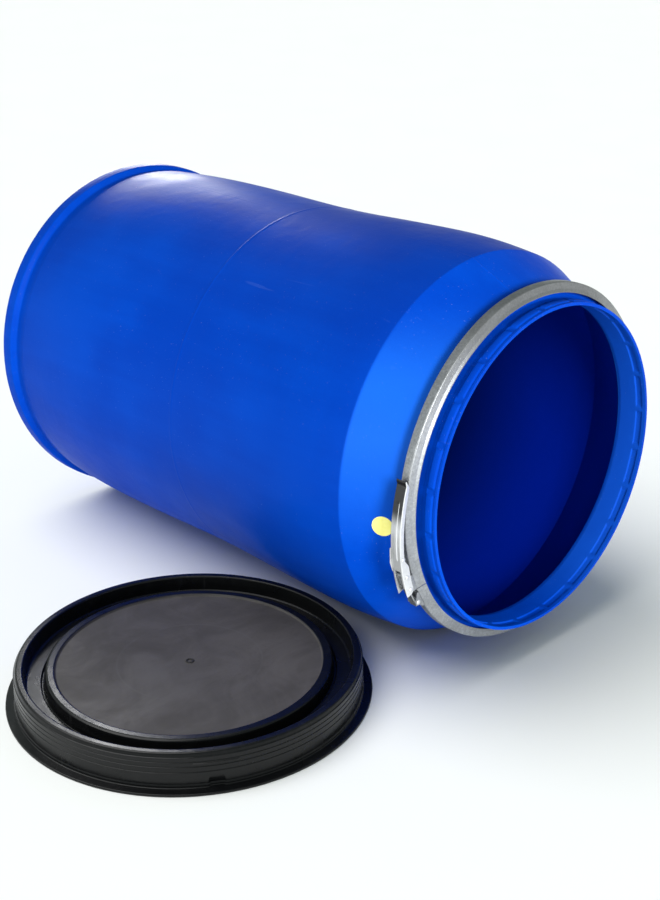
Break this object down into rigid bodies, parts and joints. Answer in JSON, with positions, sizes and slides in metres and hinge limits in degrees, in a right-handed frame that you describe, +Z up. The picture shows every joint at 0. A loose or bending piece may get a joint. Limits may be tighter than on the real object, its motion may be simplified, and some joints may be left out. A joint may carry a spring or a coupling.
{
  "type": "plastic open head drum",
  "caption": "Plastic open head drum lying on its side, with a steel lever clamp ring closed on its neck and a round lid on the floor beside it.",
  "frame": {"origin": "middle of the whole footprint, on the floor plane that the drum and the lid lie on", "axes": "+X along the drum from its base to its mouth, +Z up, +Y from the lid towards the drum"},
  "size_m": [0.94, 0.977, 0.591],
  "materials": {
    "blue_plastic": "satin blue polyethylene",
    "black_plastic": "satin black polyethylene",
    "black_rubber": "foamed sealing ring",
    "zinc_steel": "spangled zinc coating",
    "yellow_paper": "coated paper sticker"
  },
  "bodies": {
    "drum": {"drum_body": "blue_plastic", "sticker": "yellow_paper"},
    "lid": {"lid": "black_plastic", "lid_gasket": "black_rubber"},
    "band_lower": {"ring_lower": "zinc_steel", "catch_bracket": "zinc_steel", "catch_pin": "zinc_steel"},
    "band_upper": {"ring_upper": "zinc_steel", "lever_bracket": "zinc_steel", "lever_rivet_back": "zinc_steel", "lever_rivet_front": "zinc_steel"},
    "lever_arm": {"lever": "zinc_steel", "strap_pin": "zinc_steel", "latch_rivet": "zinc_steel"},
    "tension_strap": {"strap": "zinc_steel"},
    "latch": {"safety_latch": "zinc_steel"}
  },
  "joints": [
    {"name": "ring_turn", "type": "hinge", "parent": "drum", "child": "band_lower", "pos_m": [0.43425, 0.193, 0.2955], "axis": [1, 0, 0], "range_deg": [-180, 180]},
    {"name": "ring_spread", "type": "hinge", "parent": "band_lower", "child": "band_upper", "pos_m": [0.43425, 0.42812, 0.40765], "axis": [-1, 0, 0], "range_deg": [0, 1.5]},
    {"name": "lever_swing", "type": "hinge", "parent": "band_upper", "child": "lever_arm", "pos_m": [0.43425, -0.05738, 0.18922], "axis": [1, 0, 0], "range_deg": [0, 120]},
    {"name": "strap_swing", "type": "hinge", "parent": "lever_arm", "child": "tension_strap", "pos_m": [0.43425, -0.06509, 0.20966], "axis": [1, 0, 0], "range_deg": [-120, 0]},
    {"name": "latch_swing", "type": "hinge", "parent": "lever_arm", "child": "latch", "pos_m": [0.43425, -0.07351, 0.23826], "axis": [-1, 0, 0], "range_deg": [0, 30]},
    {"name": "lid_lift", "type": "slide", "parent": "drum", "child": "lid", "axis": [0, -0.7071, 0.7071], "range_m": [0, 0.25]}
  ],
  "couplings": [
    {"joint": "ring_spread", "follows": "lever_swing", "ratio": 0.0115},
    {"joint": "strap_swing", "follows": "lever_swing", "ratio": -1}
  ]
}
